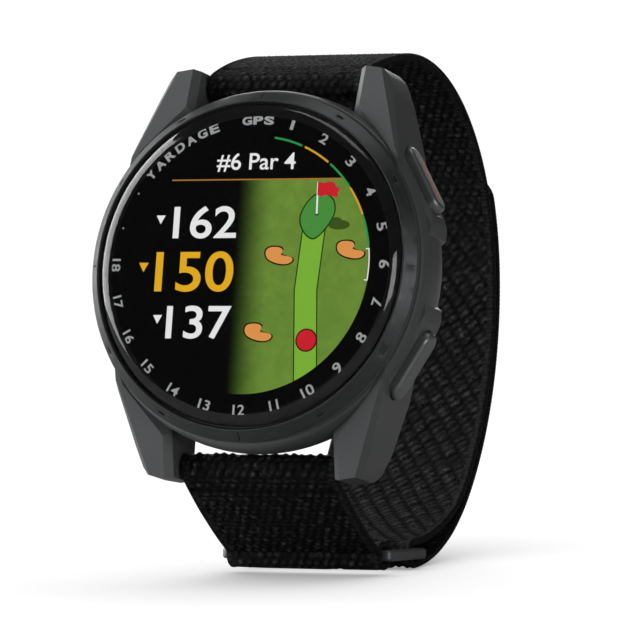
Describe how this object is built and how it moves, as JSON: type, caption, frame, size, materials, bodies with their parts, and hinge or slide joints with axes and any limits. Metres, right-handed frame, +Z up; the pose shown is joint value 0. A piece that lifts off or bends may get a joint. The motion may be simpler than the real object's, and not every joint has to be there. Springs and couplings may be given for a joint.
{
  "type": "golf gps watch",
  "caption": "Round golf GPS watch with a slate case, faceted lugs, side buttons and a closed woven nylon strap folded through a ring.",
  "frame": {"origin": "bottom centre of the watch standing on its closed strap", "axes": "+X towards 3 o'clock and the buttons, the dial faces -Y leaning back 12 degrees, +Z up towards 12 o'clock"},
  "size_m": [0.0428, 0.059, 0.0619],
  "materials": {
    "case_polymer": "matte slate, fibre filled",
    "rear_polymer": "matte black",
    "bezel_metal": "slate anodised, brushed round",
    "button_metal": "slate anodised, fine satin",
    "ring_metal": "grey satin",
    "steel": "satin",
    "contact_metal": "plated",
    "glass": "polished",
    "display": "gloss black, lit",
    "adhesive": "clear to black film",
    "inner_plastic": "matte black",
    "circuit_board": "solder resist",
    "flex_circuit": "polyimide",
    "cell": "foil pouch",
    "foam": "closed cell foam",
    "seal_rubber": "matte",
    "accent": "satin orange-red",
    "webbing": "jacquard woven nylon",
    "hook_tape": "moulded hooks"
  },
  "bodies": {
    "case": {"case_body": "case_polymer", "bezel_ring": "bezel_metal", "lens": "glass", "lens_adhesive": "adhesive", "display_adhesive": "adhesive", "display_panel": "display", "chassis": "inner_plastic", "antenna_band": "contact_metal", "display_flex": "flex_circuit", "display_socket": "inner_plastic", "main_board": "circuit_board", "shield_can": "steel", "board_chips": "inner_plastic", "battery": "cell", "battery_foam": "foam", "vibration_motor": "steel", "upper_button_switch": "inner_plastic", "lower_button_switch": "inner_plastic", "rear_cover": "rear_polymer", "case_screws": "steel", "rear_cover_seal": "seal_rubber", "sensor_window": "glass", "sensor_board": "circuit_board", "sensor_diodes": "inner_plastic", "charge_socket": "inner_plastic", "charge_pins": "contact_metal"},
    "upper_button": {"upper_button": "button_metal", "upper_button_accent": "accent", "upper_button_seal": "seal_rubber", "upper_button_clip": "steel"},
    "lower_button": {"lower_button": "button_metal", "lower_button_seal": "seal_rubber", "lower_button_clip": "steel"},
    "upper_strap": {"upper_strap": "webbing", "upper_bar_tube": "steel", "upper_bar_spring": "steel"},
    "upper_release": {"upper_bar_plunger": "steel"},
    "lower_strap": {"lower_strap": "webbing", "lower_bar_tube": "steel", "lower_bar_spring": "steel"},
    "lower_release": {"lower_bar_plunger": "steel"},
    "ring": {"strap_ring": "ring_metal"},
    "tail": {"strap_tail": "webbing"},
    "tab": {"strap_tab": "webbing", "hook_patch": "hook_tape"}
  },
  "joints": [
    {"name": "upper_button_press", "type": "slide", "parent": "case", "child": "upper_button", "axis": [-0.866, -0.104, -0.4891], "range_m": [0, 0.00045], "stiffness_N_per_m": 2500},
    {"name": "lower_button_press", "type": "slide", "parent": "case", "child": "lower_button", "axis": [-0.866, 0.104, 0.4891], "range_m": [0, 0.00045], "stiffness_N_per_m": 2500},
    {"name": "lower_strap_swing", "type": "hinge", "parent": "case", "child": "lower_strap", "pos_m": [-0.00002, -0.02172, 0.01337], "axis": [1, 0, 0], "range_deg": [-3, 3]},
    {"name": "ring_tilt", "type": "hinge", "parent": "lower_strap", "child": "ring", "pos_m": [-0.00002, -0.00918, 0.00238], "axis": [1, 0, 0], "range_deg": [-25, 25]},
    {"name": "upper_strap_swing", "type": "hinge", "parent": "case", "child": "upper_strap", "pos_m": [-0.00002, -0.01224, 0.05797], "axis": [1, 0, 0], "range_deg": [-3, 3]},
    {"name": "tail_peel", "type": "hinge", "parent": "upper_strap", "child": "tail", "pos_m": [-0.00002, 0.00015, 0], "axis": [-1, 0, 0], "range_deg": [0, 60]},
    {"name": "tab_peel", "type": "hinge", "parent": "tail", "child": "tab", "pos_m": [-0.00002, 0.0295, 0.03455], "axis": [-1, 0, 0], "range_deg": [0, 90]},
    {"name": "upper_bar_release", "type": "slide", "parent": "upper_strap", "child": "upper_release", "axis": [-1, 0, 0], "range_m": [0, 0.0013], "stiffness_N_per_m": 600, "deforming": ["upper_bar_spring"]},
    {"name": "lower_bar_release", "type": "slide", "parent": "lower_strap", "child": "lower_release", "axis": [-1, 0, 0], "range_m": [0, 0.0013], "stiffness_N_per_m": 600, "deforming": ["lower_bar_spring"]}
  ],
  "couplings": [
    {"joint": "ring_tilt", "follows": "lower_strap_swing", "ratio": -2.105},
    {"joint": "upper_strap_swing", "follows": "lower_strap_swing", "ratio": 0.185}
  ]
}
